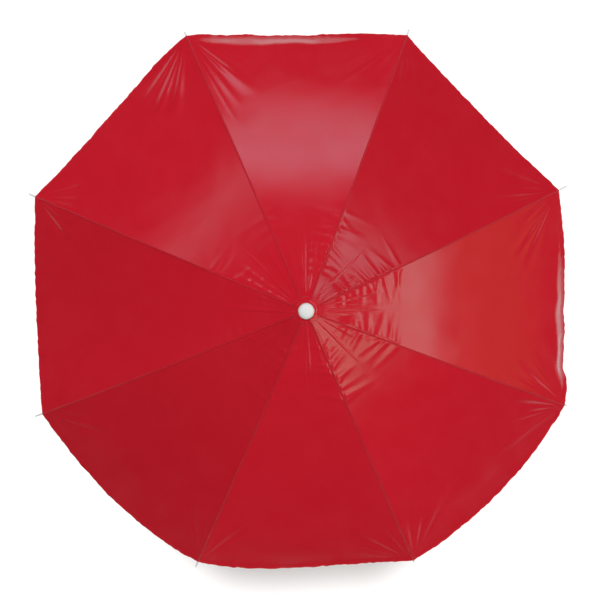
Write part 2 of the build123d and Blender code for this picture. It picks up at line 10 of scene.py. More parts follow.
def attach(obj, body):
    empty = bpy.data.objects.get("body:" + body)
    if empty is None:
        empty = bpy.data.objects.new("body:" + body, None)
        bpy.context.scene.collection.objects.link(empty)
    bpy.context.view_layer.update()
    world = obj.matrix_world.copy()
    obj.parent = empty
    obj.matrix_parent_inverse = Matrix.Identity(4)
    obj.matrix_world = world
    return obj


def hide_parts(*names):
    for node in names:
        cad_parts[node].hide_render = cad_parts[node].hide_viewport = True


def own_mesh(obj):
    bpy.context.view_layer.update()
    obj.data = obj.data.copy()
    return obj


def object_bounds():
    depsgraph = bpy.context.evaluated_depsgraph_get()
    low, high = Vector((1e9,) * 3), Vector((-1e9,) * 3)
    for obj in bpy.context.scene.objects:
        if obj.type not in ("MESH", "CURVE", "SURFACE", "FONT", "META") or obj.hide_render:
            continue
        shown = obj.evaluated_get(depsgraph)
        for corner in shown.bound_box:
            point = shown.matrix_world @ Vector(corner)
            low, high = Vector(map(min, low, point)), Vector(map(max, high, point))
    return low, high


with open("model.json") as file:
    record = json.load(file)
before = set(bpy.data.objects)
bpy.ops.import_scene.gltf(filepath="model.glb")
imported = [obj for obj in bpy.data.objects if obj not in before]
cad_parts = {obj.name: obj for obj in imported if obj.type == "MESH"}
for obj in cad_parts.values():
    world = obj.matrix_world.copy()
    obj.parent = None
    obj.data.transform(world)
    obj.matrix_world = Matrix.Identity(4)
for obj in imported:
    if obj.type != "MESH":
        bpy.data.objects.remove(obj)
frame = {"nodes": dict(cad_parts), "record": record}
CAD_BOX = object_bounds()
NODES = frame["nodes"]

# Red beach umbrella, seen from above. Metres; +Z up the pole, the same frame as the CAD.

# ---- the frame's own dimensions -------------------------------------------------------------
RIB_COUNT = 8
HALF_PANEL = pi / RIB_COUNT
CROWN = 1.735
HINGE_RADIUS = 0.014
RIB_LENGTH = 0.790
ROOT_SLOPE = radians(15)
TIP_SLOPE = radians(33)
RIB_ARC_RADIUS = RIB_LENGTH / (TIP_SLOPE - ROOT_SLOPE)
HEM_ARC = 0.775
APEX_ARC = 0.006
APEX_RISE = 0.0045  # how far the crown holds the cloth up off the line of the ribs
CLOTH_LIFT = 0.0033  # from a rib's centreline to the middle of the cloth
CLOTH = 0.0006
RIB_AZIMUTHS = [2 * HALF_PANEL * (n + 0.5) for n in range(RIB_COUNT)]
PANEL_AZIMUTHS = [2 * HALF_PANEL * (n + 1) for n in range(RIB_COUNT)]


def smooth(x, low=0.0, high=1.0):
    x = np.clip((np.asarray(x, float) - low) / (high - low), 0, 1)
    return x * x * (3 - 2 * x)


def bell(x, centre, width):
    return np.exp(-(((np.asarray(x, float) - centre) / width) ** 2))


def rib_slope(arc):
    return ROOT_SLOPE + (TIP_SLOPE - ROOT_SLOPE) * arc / RIB_LENGTH


def rib_point(arc, lift=0.0):
    """(radius, height) on a rib at a length along it, lifted off its centreline by that much."""
    slope = rib_slope(arc)
    radius = HINGE_RADIUS + RIB_ARC_RADIUS * (np.sin(slope) - sin(ROOT_SLOPE))
    height = CROWN + RIB_ARC_RADIUS * (np.cos(slope) - cos(ROOT_SLOPE))
    return radius + lift * np.sin(slope), height + lift * np.cos(slope)


def apex_rise(arc):
    """Height the cloth gains near the pole, where it lies over the crown."""
    return APEX_RISE * (1 - smooth(arc, 0.008, 0.085))


# ---- meshes -----------------------------------------------------------------------------------
def mesh_object(name, verts, faces, materials, uvs=None, slots=None):
    mesh = bpy.data.meshes.new(name)
    mesh.from_pydata([tuple(v) for v in verts], [], [tuple(f) for f in faces])
    mesh.update()
    if uvs is not None:
        layer = mesh.uv_layers.new(name="cloth")
        corner = np.array([loop.vertex_index for loop in mesh.loops])
        layer.data.foreach_set("uv", np.asarray(uvs, np.float32)[corner].ravel())
    mesh.polygons.foreach_set("use_smooth", [True] * len(mesh.polygons))
    for material in materials:
        mesh.materials.append(material)
    if slots is not None:
        mesh.polygons.foreach_set("material_index", slots)
    ob = bpy.data.objects.new(name, mesh)
    bpy.context.scene.collection.objects.link(ob)
    return ob


def grid_faces(rows, columns):
    """Quads of a grid of rows by columns points, counted along each row."""
    i = np.arange(rows - 1)[:, None] * columns + np.arange(columns - 1)[None, :]
    return np.stack([i, i + columns, i + columns + 1, i + 1], -1).reshape(-1, 4)


def upward_normals(points):
    """Unit normals of a grid of points (rows, columns, 3), on the side that faces up."""
    n = np.cross(np.gradient(points, axis=0), np.gradient(points, axis=1))
    n = n / np.maximum(np.linalg.norm(n, axis=-1, keepdims=True), 1e-12)
    return -n if n[..., 2].mean() < 0 else n


def thick_sheet(name, points, uv, thickness, materials, under=0):
    """A closed thin sheet from a grid of mid-surface points; under is its lower side's slot."""
    rows, columns, _ = points.shape
    n = upward_normals(points)
    top = (points + n * thickness / 2).reshape(-1, 3)
    bottom = (points - n * thickness / 2).reshape(-1, 3)
    count = rows * columns
    up = grid_faces(rows, columns)
    p = top[up[0]]
    faces_up = np.dot(np.cross(p[1] - p[0], p[2] - p[1]), n.reshape(-1, 3)[up[0][0]]) > 0
    if not faces_up:
        up = up[:, ::-1]
    down = up[:, ::-1] + count
    ring = np.concatenate(
        [
            np.arange(columns),
            np.arange(1, rows) * columns + columns - 1,
            (rows - 1) * columns + np.arange(columns - 2, -1, -1),
            np.arange(rows - 2, 0, -1) * columns,
        ]
    )
    following = np.roll(ring, -1)
    side = np.stack([ring, following, following + count, ring + count], -1)
    if faces_up:
        side = side[:, ::-1]
    verts = np.concatenate([top, bottom])
    faces = np.concatenate([up, down, side])
    slots = np.concatenate([np.zeros(len(up)), np.full(len(down), under), np.zeros(len(side))])
    uvs = np.concatenate([uv.reshape(-1, 2)] * 2)
    return mesh_object(name, verts, faces, materials, uvs, slots.astype(np.int32))


def thick_ring(name, points, thickness, materials):
    """A closed thin sheet round the pole from a grid of (ring, round) points."""
    rows, columns, _ = points.shape
    outward = np.gradient(points, axis=0)
    onward = np.roll(points, -1, axis=1) - np.roll(points, 1, axis=1)
    n = np.cross(outward, onward)
    n /= np.linalg.norm(n, axis=-1, keepdims=True)
    top = (points + n * thickness / 2).reshape(-1, 3)
    bottom = (points - n * thickness / 2).reshape(-1, 3)
    verts = np.concatenate([top, bottom])
    count = rows * columns
    last = count - columns
    faces = []
    for j in range(columns):
        k = (j + 1) % columns
        for start in range(0, last, columns):
            a, b, c, d = start + j, start + columns + j, start + columns + k, start + k
            faces += [(a, b, c, d), (d + count, c + count, b + count, a + count)]
        faces.append((k, k + count, j + count, j))
        faces.append((last + j, last + j + count, last + k + count, last + k))
    return mesh_object(name, verts, faces, materials, uvs=verts[:, :2])


def ribbon_on_rib(azimuth, arcs, section):
    """Grid of points along a rib, whose section(slope, radius) gives (sideways, lift) pairs."""
    rows = []
    c, s = cos(azimuth), sin(azimuth)
    for arc in arcs:
        row = []
        for side, lift in section(rib_slope(arc), float(rib_point(arc)[0])):
            radius, height = rib_point(arc, lift)
            row.append((radius * c - side * s, radius * s + side * c, height + apex_rise(arc)))
        rows.append(row)
    return np.array(rows)


def turned(points, azimuth):
    """Points given as (out from the pole, sideways, height), turned to an azimuth."""
    out, side, up = points[..., 0], points[..., 1], points[..., 2]
    c, s = cos(azimuth), sin(azimuth)
    return np.stack([out * c - side * s, out * s + side * c, up], -1)


# ---- materials --------------------------------------------------------------------------------
# Sockets of a Mix node in its colour mode, whose names it shares with its other modes
MIX_A = 6
MIX_B = 7
MIX_RESULT = 2


class Paint:
    """A Principled material under construction."""

    def __init__(self, name, colour, roughness, **sockets):
        self.material = bpy.data.materials.new(name)
        self.material.use_nodes = True
        self.tree = self.material.node_tree
        self.shader = self.tree.nodes["Principled BSDF"]
        self.shader.inputs["Base Color"].default_value = (*colour, 1)
        self.shader.inputs["Roughness"].default_value = roughness
        for key, value in sockets.items():
            self.shader.inputs[key.replace("_", " ")].default_value = value

    def node(self, kind, **settings):
        made = self.tree.nodes.new(kind)
        for key, value in settings.items():
            if key in made.inputs:
                made.inputs[key].default_value = value
            else:
                setattr(made, key, value)
        return made

    def link(self, a, b):
        self.tree.links.new(a, b)

    def coordinates(self, kind="Object"):
        return self.node("ShaderNodeTexCoord").outputs[kind]

    def math(self, operation, *values):
        """A Math node's result, from values that are numbers or outputs of other nodes."""
        made = self.node("ShaderNodeMath", operation=operation)
        for value, socket in zip(values, made.inputs):
            if isinstance(value, (int, float)):
                socket.default_value = value
            else:
                self.link(value, socket)
        return made.outputs[0]

    def noise(self, scale, detail=3.0, roughness=0.55, at=None):
        made = self.node("ShaderNodeTexNoise", Scale=scale, Detail=detail, Roughness=roughness)
        self.link(at if at is not None else self.coordinates(), made.inputs["Vector"])
        return made.outputs["Fac"]

    def ramp(self, value, low, high, a, b):
        """Maps a value's span low..high to a..b, clamped."""
        made = self.node("ShaderNodeMapRange")
        self.link(value, made.inputs["Value"])
        for key, v in (("From Min", low), ("From Max", high), ("To Min", a), ("To Max", b)):
            made.inputs[key].default_value = v
        return made.outputs["Result"]

    def mix(self, factor, a, b):
        """Mixes colour a with colour b by a factor from another node."""
        made = self.node("ShaderNodeMix", data_type="RGBA")
        self.link(factor, made.inputs["Factor"])
        for index, colour in ((MIX_A, a), (MIX_B, b)):
            made.inputs[index].default_value = (*colour, 1)
        return made.outputs[MIX_RESULT]

    def bump(self, height, distance, strength=1.0, base=None):
        made = self.node("ShaderNodeBump", Strength=strength, Distance=distance)
        self.link(height, made.inputs["Height"])
        if base is not None:
            self.link(base, made.inputs["Normal"])
        return made.outputs["Normal"]

    def set(self, socket, value):
        self.link(value, self.shader.inputs[socket])


THREAD_SPACING = 0.0007
COATING_TINT = (0.42, 0.95, 1.0)  # the cloth's coating mirrors a cool light


def toned(colour, share):
    return tuple(c * share for c in colour)


def weave(paint, period):
    """Height of a plain weave with that thread spacing, from the cloth's own UVs in metres."""
    split = paint.node("ShaderNodeSeparateXYZ")
    paint.link(paint.coordinates("UV"), split.inputs[0])
    waves = []
    for axis in (0, 1):
        phase = paint.math("MULTIPLY", split.outputs[axis], pi / period)
        waves.append(paint.math("SINE", phase))
    return paint.math("MULTIPLY", *waves)


def cloth_paint(name, colour, dark, roughness, sheen=0.0, specular=0.5):
    """Coated woven polyester: fine weave, slubs, a slightly uneven dye and faint soil."""
    paint = Paint(name, colour, roughness, Specular_IOR_Level=specular, Sheen_Weight=sheen)
    paint.shader.inputs["Specular Tint"].default_value = (*COATING_TINT, 1)
    broad = paint.noise(3.5, 3.0)
    fine = paint.noise(60.0, 4.0)
    dye = paint.math("ADD", paint.math("MULTIPLY", broad, 0.7), paint.math("MULTIPLY", fine, 0.3))
    paint.set("Base Color", paint.mix(paint.ramp(dye, 0.3, 0.7, 0.0, 1.0), dark, colour))
    soil = paint.noise(14.0, 4.0)
    paint.set("Roughness", paint.ramp(soil, 0.3, 0.7, roughness - 0.04, roughness + 0.05))
    threads = paint.bump(weave(paint, THREAD_SPACING), 0.000006)
    slubs = paint.bump(paint.noise(420.0, 2.0), 0.00001, base=threads)
    crinkle = paint.bump(paint.noise(22.0, 3.0), 0.0006, 0.35, base=slubs)
    paint.set("Normal", crinkle)
    return paint.material


def enamel_paint(name, colour, roughness=0.28, chips=0.0):
    """Sprayed enamel on tube or wire: orange peel, faint scuffs and grey wear."""
    paint = Paint(name, colour, roughness, Specular_IOR_Level=0.5)
    scuff = paint.noise(90.0, 6.0, 0.7)
    long_marks = paint.node("ShaderNodeMapping")
    paint.link(paint.coordinates(), long_marks.inputs["Vector"])
    long_marks.inputs["Scale"].default_value = (240, 240, 9)
    streak = paint.noise(1.0, 4.0, 0.6, at=long_marks.outputs[0])
    wear = paint.ramp(streak, 0.56, 0.78, 0.0, 0.35 + chips)
    paint.set("Base Color", paint.mix(wear, colour, toned(colour, 0.72)))
    paint.set("Roughness", paint.ramp(scuff, 0.35, 0.7, roughness - 0.05, roughness + 0.2))
    paint.set("Normal", paint.bump(paint.noise(700.0, 2.0), 0.00002, 0.5))
    return paint.material


def plastic_paint(name, colour, roughness=0.42):
    """Injection-moulded plastic: fine spark texture, flow marks and handling dirt."""
    paint = Paint(name, colour, roughness, Specular_IOR_Level=0.45)
    dirt = paint.ramp(paint.noise(38.0, 5.0, 0.65), 0.5, 0.78, 0.0, 0.6)
    paint.set("Base Color", paint.mix(dirt, colour, toned(colour, 0.86)))
    flow = paint.noise(160.0, 4.0)
    paint.set("Roughness", paint.ramp(flow, 0.3, 0.7, roughness - 0.08, roughness + 0.1))
    spark = paint.bump(paint.noise(1800.0, 2.0), 0.00001, 0.5)
    paint.set("Normal", paint.bump(paint.noise(50.0, 2.0), 0.0001, 0.2, base=spark))
    return paint.material


def metal_paint(name, colour, roughness=0.32):
    """Zinc-plated steel: bright, faintly brushed, with dull patches."""
    paint = Paint(name, colour, roughness, Metallic=1.0)
    bloom = paint.noise(120.0, 5.0, 0.7)
    dull = paint.ramp(bloom, 0.45, 0.75, 0.0, 0.7)
    paint.set("Base Color", paint.mix(dull, colour, toned(colour, 0.7)))
    paint.set("Roughness", paint.ramp(bloom, 0.3, 0.7, roughness - 0.08, roughness + 0.2))
    paint.set("Normal", paint.bump(paint.noise(900.0, 3.0), 0.00001, 0.6))
    return paint.material


RED = (0.418, 0.0055, 0.0148)
RED_DARK = (0.385, 0.0045, 0.0125)
CLOTH_GLOSS = 0.19
# Painted light and shade: each panel's copy of the red cloth is made brighter or darker by this share,
# for how the light falls on it, from the panel facing 45 degrees round to the one facing +X
PANEL_PAINTED_SHADE = (0.89, 0.965, 1.0, 0.975, 0.935, 1.05, 1.04, 1.0)
PANEL_SHADED_CLOTH = [
    cloth_paint(f"coated_cloth_red_{n + 1}", toned(RED, painted_shade), toned(RED_DARK, painted_shade), CLOTH_GLOSS)
    for n, painted_shade in enumerate(PANEL_PAINTED_SHADE)
]
CLOTH_RED = cloth_paint("coated_cloth_red", RED, RED_DARK, CLOTH_GLOSS)
SEAM_RED = cloth_paint(
    "seam_cloth_red", (0.39, 0.0050, 0.0135), (0.35, 0.0045, 0.012), 0.42, specular=0.3
)
CLOTH_INSIDE = cloth_paint(
    "coated_cloth_red_inside", (0.44, 0.008, 0.018), (0.39, 0.006, 0.014), 0.55, specular=0.15
)
THREAD_RED = cloth_paint(
    "thread_red", (0.40, 0.005, 0.014), (0.32, 0.004, 0.011), 0.6, specular=0.3
)
WEBBING_RED = cloth_paint("webbing_red", (0.40, 0.008, 0.016), (0.33, 0.006, 0.012), 0.6, sheen=0.2)
HOOK_RED = cloth_paint("hook_tape_red", (0.30, 0.006, 0.014), (0.20, 0.004, 0.010), 0.85, sheen=0.5)
POLE_WHITE = enamel_paint("pole_enamel_white", (0.80, 0.80, 0.785))
RIB_WHITE = enamel_paint("rib_enamel_white", (0.74, 0.74, 0.73), 0.34, chips=0.15)
PLASTIC_WHITE = plastic_paint("moulded_plastic_white", (0.80, 0.80, 0.785))
# Painted shade: a darker copy of the same white plastic, for the finial and rib tips that sit in full
# light on top of the canopy
CAP_WHITE_PAINTED_SHADE = plastic_paint("moulded_cap_white_painted_shade", (0.555, 0.555, 0.55), 0.38)
PLASTIC_GREY = plastic_paint("moulded_plastic_grey", (0.30, 0.30, 0.31))
ZINC = metal_paint("zinc_plate", (0.66, 0.66, 0.67))

SLOT_PAINT = {
    "pole_enamel": POLE_WHITE,
    "rib_wire": RIB_WHITE,
    "white_plastic": PLASTIC_WHITE,
    "grey_plastic": PLASTIC_GREY,
    "steel": ZINC,
    "canopy_fabric": CLOTH_RED,
}
# The finial and rib tips get the darker, painted-shade copy of the white plastic
for entry in frame["record"]["subparts"]:
    ob = NODES[entry["node"]]
    ob.data.materials.clear()
    cap = entry["node"] == "finial" or entry["node"].startswith("rib_tip")
    ob.data.materials.append(CAP_WHITE_PAINTED_SHADE if cap else SLOT_PAINT[entry["material_slot"]])


# ---- canopy panels ----------------------------------------------------------------------------
ROWS = 190
COLUMNS = 141
SEAM_CROWDING = 0.28  # how strongly a panel's columns crowd towards its seams
HEM_CROWDING = 0.12  # and its rows towards its hem
STEPS = 5  # of the walk down a panel, from one row to the next
CORNER_SIDE = float(rib_point(HEM_ARC, CLOTH_LIFT)[0]) * sin(HALF_PANEL)
# How each panel's hem lies, from the panel facing 45 degrees round to the one facing +X:
# cloth beyond the straight line between its corners, how many degrees the hem's strip turns
# down, how far the fullest point lies towards one corner, and the height of its scallops.
HEM_EXTRA = (-0.002, 0.027, 0.015, 0.016, 0.060, 0.038, 0.068, 0.036)
HEM_ROLL = (0, 24, 0, 0, 0, 1, 0, 26)
HEM_LEAN = (0.0, 0.45, -1.5, 0.0, 0.15, -0.6, 0.0, -0.3)
HEM_WAVE = (0.0008, 0.0003, 0.0016, 0.0010, 0.0020, 0.0014, 0.0022, 0.0010)
# The strip's upper and lower edges, measured back from the hem: where its turn grows and fades
STRIP_TOP = (0.056, 0.036)
STRIP_FOOT = (0.018, 0.004)
STRIP_EASES = 0.75  # share of its turn that the strip loses again at its foot
STRIP_WANDER = 0.005
STRIP_UNEVEN = 0.2
# Where along the hem, from -1 to 1, a turned strip widens and narrows, and the height of its
# crumples in metres. PLAIN_SPAN serves the panels that aren't named.
STRIP_SPAN = {1: (-0.85, 0.0, 0.60, 1.05, 0.0000268), 7: (-0.95, -0.6, -0.15, 0.75, 0.0001757)}
PLAIN_SPAN = (-1, 0, 0, 1, 0)
# How much further along its rib each hem corner is pulled, from the rib at 22.5 degrees round
CORNER_SHIFT = (-0.013, -0.002, 0.004, -0.004, -0.008, -0.004, 0.011, 0.008)
# Slope of the tension folds at each rib's hem corner, and strength of the gathers along its seam
# near the crown, from the rib at 22.5 degrees round
FOLD_SLOPE = (0.24, 0.14, 0.13, 0.22, 0.13, 0.10, 0.16, 0.24)
GATHER_STRENGTH = (1.8, 1.0, 0.4, 0.9, 1.0, 1.0, 1.2, 1.8)
# Large folds by (panel, side): (angle from the seam, half width, slope, length), in radians and
# metres. They leave the hem corner between the panels that face 90 and 135 degrees round.
LARGE_FOLDS = {
    (1, 1): ((0.06, 0.022, 0.24, 0.32), (0.17, 0.042, 0.30, 0.28), (0.37, 0.080, 0.31, 0.26)),
    (2, -1): ((0.46, 0.088, 0.30, 0.26), (0.71, 0.088, 0.31, 0.27), (0.96, 0.080, 0.28, 0.23)),
}
BELL_HEIGHT = 1.16  # of a bell that is 1 wide and 1 steep
FOLD_TROUGH = 0.45  # depth of the trough beside a small fold, as a share of the fold
FOLD_TROUGH_PLACE = 1.9  # and its place, in half widths
# How strongly the cloth pulls in between its ribs near the crown and at the hem, and the stretch
# of the ribs where this changes
PULL = (0.95, 0.50)
PULL_CHANGES = (0.45, 0.76)
# Heights of the cloth's details, and half the width of its crease
SWELL = 0.0014
RIPPLE = 0.00020
CREASE = 0.0008
CREASE_HALF = 0.0022
PUCKER = 0.0013
FINE_PUCKER = 0.0004
HEM_FOLD = 0.0004
HEM_GROOVE = 0.0005
# Pleats round the finial
PLEATS = 9
PLEAT_STEEPNESS = 0.18
PLEAT_SLANT = 0.3
# Gathers that cross the seams: the stretch of the rib that they cover, and their steepness
GATHERED = (0.075, 0.245)
GATHER_STEEPNESS = 0.26


def noise_along(seed, cells, share):
    """Smooth noise, about -1..1, at shares of a length that is cut into that many cells."""
    rng = Random(seed)
    knots = np.array([rng.uniform(-1, 1) for _ in range(cells + 3)])
    x = np.clip(share * cells, 0, cells)
    i = np.floor(x).astype(int)
    f = smooth(x - i)
    return knots[i] * (1 - f) + knots[i + 1] * f


def undulation(seed, low, high, x, y):
    """Smooth 2-D undulation, about -1..1, of a few waves with wavenumbers from low to high."""
    rng = Random(seed)
    waves = [
        (rng.uniform(low, high), rng.uniform(0, 2 * pi), rng.uniform(0, 2 * pi), rng.uniform(0.3, 1))
        for _ in range(7)
    ]
    total = 0
    for k, heading, phase, amount in waves:
        total = total + amount * np.sin(k * (x * cos(heading) + y * sin(heading)) + phase)
    return total / sum(amount for _, _, _, amount in waves)


def fan_of_folds(rng, slope):
    """Folds that leave a hem corner: (angle from the seam, half width, slope, length)."""
    folds = []
    angle = rng.uniform(0.05, 0.10)
    while angle < 1.0:
        width = rng.uniform(0.032, 0.075)
        steep = slope * rng.uniform(0.5, 1.2) * (1 - 0.75 * smooth(angle, 0.25, 0.85))
        folds.append((angle, width, steep, rng.uniform(0.13, 0.27)))
        angle += width * rng.uniform(2.4, 3.8)
    return folds


class Panel:
    """A panel's middle surface, as grids with a row for each step from the apex to the hem.

    across runs from -1 at one seam to 1 at the next, and arc is the length from the apex.
    """

    def __init__(self, number):
        self.number = number
        self.seams = ((-1, number), (1, (number + 1) % RIB_COUNT))
        q = np.linspace(-1, 1, COLUMNS)
        self.across = (1 - SEAM_CROWDING) * q + SEAM_CROWDING * np.sin(q * pi / 2)
        fullness = np.clip(1 - self.across**2, 0, 1) * np.exp(HEM_LEAN[number] * self.across)
        scallop = HEM_WAVE[number] * self.noise(200, 26) * smooth(1 - abs(self.across), 0, 0.1)
        self.hem_arc = HEM_ARC + np.interp(
            self.across, (-1, 1), [CORNER_SHIFT[rib] for _, rib in self.seams]
        )
        extra = HEM_EXTRA[number] * fullness / fullness.max()
        length = self.hem_arc - APEX_ARC + extra + scallop
        p = np.linspace(0, 1, ROWS)
        along = (1 + HEM_CROWDING) * p - HEM_CROWDING * p**2
        self.arc = APEX_ARC + along[:, None] * length
        self.from_hem = self.arc[-1] - self.arc
        rib_radius, _ = rib_point(np.minimum(self.arc, self.hem_arc), CLOTH_LIFT)
        self.side = rib_radius * sin(HALF_PANEL)
        self.sideways = self.across * self.side
        self.from_seam = (1 - abs(self.across)) * self.side

    def noise(self, seed, cells):
        """Noise along the panel's width, of its own for each panel."""
        return noise_along(seed + self.number, cells, (self.across + 1) / 2)

    def walk(self):
        """(out, up) of the cloth laid along the ribs' slope, with its hem strip turned down."""
        grow_from, grow_to, fade_from, fade_to, _ = STRIP_SPAN.get(self.number, PLAIN_SPAN)
        wide = smooth(self.across, grow_from, grow_to)
        wide = wide * (1 - smooth(self.across, fade_from, fade_to))
        top, full = [STRIP_FOOT[0] + (line - STRIP_FOOT[0]) * wide for line in STRIP_TOP]
        top_line = top - STRIP_WANDER * self.noise(700, 12) * wide
        roll = radians(HEM_ROLL[self.number]) * wide * (1 + STRIP_UNEVEN * self.noise(750, 18))
        stretch = 1 + CLOTH_LIFT / RIB_ARC_RADIUS
        out = np.zeros_like(self.arc)
        up = np.zeros_like(self.arc)
        start_radius, start_height = rib_point(APEX_ARC, CLOTH_LIFT)
        out[0] = start_radius * cos(HALF_PANEL)
        up[0] = start_height
        for i in range(1, ROWS):
            step = (self.arc[i] - self.arc[i - 1]) / STEPS
            out[i] = out[i - 1]
            up[i] = up[i - 1]
            for k in range(STEPS):
                here = self.arc[i - 1] + (k + 0.5) * step
                back = self.arc[-1] - here
                turn = roll * smooth((top_line - back) / (top - full + 1e-4))
                turn *= 1 - STRIP_EASES * smooth(-back, -STRIP_FOOT[0], -STRIP_FOOT[1])
                slope = rib_slope(np.minimum(here, self.hem_arc)) + turn
                out[i] += np.cos(slope) * step * stretch * cos(HALF_PANEL)
                up[i] -= np.sin(slope) * step * stretch
        return out, up

    def tension(self):
        """How the cloth pulls in between its curved ribs."""
        pull = PULL[0] + (PULL[1] - PULL[0]) * smooth(self.arc, *PULL_CHANGES)
        return -pull * (self.side**2 - self.sideways**2) / (2 * RIB_ARC_RADIUS)

    def swells(self):
        """Long soft swells, and the ripple of thin cloth under tension."""
        open_cloth = smooth(self.from_seam, 0, 0.08) * smooth(self.arc, 0.1, 0.3)
        swell = undulation(300 + self.number, 8, 22, self.arc, self.sideways)
        ripple = undulation(350 + self.number, 45, 110, self.arc, self.sideways)
        return SWELL * swell * open_cloth + RIPPLE * ripple * smooth(self.from_seam, 0, 0.03)

    def crease(self):
        """The crease down the middle, from being stored folded."""
        line = 0.0015 * np.sin(self.arc * 30)
        reach = smooth(self.arc, 0.02, 0.05) * (1 - smooth(self.arc, 0.13, 0.24))
        return CREASE * bell(self.sideways, line, CREASE_HALF) * reach

    def pleats(self):
        """Pleats that spread from under the finial."""
        rng = Random(800 + self.number)
        lift = np.zeros_like(self.arc)
        for _ in range(PLEATS):
            place = rng.uniform(-0.9, 0.9)
            width = rng.uniform(0.05, 0.11)
            end = rng.uniform(0.05, 0.15)
            height = PLEAT_STEEPNESS * width * self.side * rng.uniform(0.5, 1.2)
            reach = smooth(self.arc, 0.022, 0.045) * (1 - smooth(self.arc, end, end + 0.06))
            lift += height * reach * bell(self.across + PLEAT_SLANT * (self.arc - end), place, width)
        return lift

    def corner_folds(self):
        """Folds that fan out from the hem's two corners."""
        lift = np.zeros_like(self.arc)
        for sign, rib in self.seams:
            large = LARGE_FOLDS.get((self.number, sign), ())
            small = [
                fold
                for fold in fan_of_folds(Random(400 + 10 * self.number + (sign > 0)), FOLD_SLOPE[rib])
                if all(abs(fold[0] - other[0]) > 2 * other[1] for other in large)
            ]
            dx = HEM_ARC + CORNER_SHIFT[rib] - self.arc
            dy = CORNER_SIDE - sign * self.sideways
            # flat angle from the seam, whose own direction leans by half a panel
            reach = np.sqrt(dx**2 + dy**2) + 1e-6
            angle = np.arctan2(dy, dx) - np.arctan2(CORNER_SIDE, RIB_LENGTH)
            for fold in [*small, *large]:
                centre, width, slope, far = fold
                line = centre + 0.10 * (reach - 0.1)
                shape = bell(angle, line, width)
                if fold not in large:
                    shape -= FOLD_TROUGH * bell(angle, line + FOLD_TROUGH_PLACE * width, width)
                grow = smooth(reach, 0.004, 0.06) * (1 - smooth(reach, 0.45 * far, far))
                height = slope * BELL_HEIGHT * width * reach
                lift += height * shape * grow * smooth(self.from_seam, 0, 0.010)
        return lift

    def gathers(self):
        """Short gathers that cross the seams near the crown."""
        lift = np.zeros_like(self.arc)
        for sign, rib in self.seams:
            rng = Random(500 + 10 * self.number + (sign > 0))
            place = GATHERED[0] + rng.uniform(0, 0.02)
            while place < GATHERED[1]:
                width = rng.uniform(0.0036, 0.0072)
                deep = rng.uniform(0.018, 0.045)
                slant = rng.uniform(-0.25, 0.45)
                height = GATHER_STEEPNESS * width * rng.uniform(0.4, 1.1) * GATHER_STRENGTH[rib]
                ridge = bell(self.arc - place - slant * self.from_seam, 0, width)
                ridge *= np.exp(-self.from_seam / deep) * smooth(self.from_seam, 0.0015, 0.008)
                lift += height * ridge * smooth(sign * self.across, 0.0, 0.25)
                place += width * rng.uniform(2.2, 3.8)
        return lift

    def hem_details(self):
        """Puckers along the hem, the turned strip's crumples, and the hem's own fold."""
        pucker = self.noise(600, 60) * np.exp(-self.from_hem / 0.016)
        lift = PUCKER * pucker * smooth(self.from_seam, 0, 0.02)
        fine = self.noise(650, 150) * np.exp(-self.from_hem / 0.010)
        lift += FINE_PUCKER * fine * smooth(self.from_seam, 0, 0.01)
        crumple = STRIP_SPAN.get(self.number, PLAIN_SPAN)[-1]
        on_strip = smooth(-self.from_hem, -STRIP_TOP[0], -STRIP_TOP[1])
        on_strip *= 1 - smooth(-self.from_hem, -STRIP_FOOT[0], 0)
        crumples = undulation(720 + self.number, 130, 380, self.arc, self.sideways)
        lift += crumple * crumples * on_strip
        # the hem is turned under, so its strip stands a little proud of its stitch line
        lift += HEM_FOLD * smooth(-self.from_hem, -0.0135, -0.0115)
        lift -= HEM_GROOVE * bell(self.from_hem, 0.0125, 0.0012)
        return lift

    def surface(self):
        """The panel's points, (out, sideways, up), and its flat coordinates."""
        out, up = self.walk()
        points = np.stack([out, self.sideways, up], -1)
        lift = self.tension() + self.swells() + self.crease() + self.pleats()
        lift = lift + self.corner_folds() + self.gathers() + self.hem_details()
        points = points + upward_normals(points) * lift[..., None]
        points[..., 2] += apex_rise(self.arc)
        return points, np.stack([self.sideways, self.arc], -1)


STITCH_GAP = 0.3  # share of a stitch's pitch where the thread is under the cloth
STITCH_CLEAR = (0.006, 0.004)  # left free at a row's two ends
# A stitch's sections: share of its length, rise, half width
STITCH_SHAPE = ((0, 0.00002, 0.00016), (0.5, 0.00026, 0.0003), (1, 0.00002, 0.00016))
THREAD_SINK = 0.00012
THREAD_RISE = 0.0001
HEM_STITCH_INSET = 0.012
HEM_STITCH_PITCH = 0.0036


def stitch_row(name, track, up, pitch, height=CLOTH / 2):
    """Short thread stitches along a track that lies that height below the cloth's face."""
    run = np.concatenate([[0], np.cumsum(np.linalg.norm(np.diff(track, axis=0), axis=1))])

    def at(place, values):
        return np.array([np.interp(place, run, values[:, c]) for c in range(3)])

    verts, faces = [], []
    where = STITCH_CLEAR[0]
    while where + pitch < run[-1] - STITCH_CLEAR[1]:
        start = at(where, track)
        length = at(where + pitch * (1 - STITCH_GAP), track) - start
        u = at(where, up)
        u = u / np.linalg.norm(u)
        wide = np.cross(length / np.linalg.norm(length), u)
        base = len(verts)
        for t, lift, half in STITCH_SHAPE:
            centre = start + length * t + u * (height + lift)
            verts += [
                centre - wide * half - u * THREAD_SINK,
                centre - wide * half * 0.5 + u * THREAD_RISE,
                centre + wide * half * 0.5 + u * THREAD_RISE,
                centre + wide * half - u * THREAD_SINK,
            ]
        for ring in (base, base + 4):
            for k in range(4):
                m = (k + 1) % 4
                faces.append((ring + k, ring + 4 + k, ring + 4 + m, ring + m))
        faces.append((base, base + 1, base + 2, base + 3))
        faces.append((base + 11, base + 10, base + 9, base + 8))
        where += pitch
    return mesh_object(name, verts, faces, [THREAD_RED], uvs=[(v[0], v[1]) for v in verts])


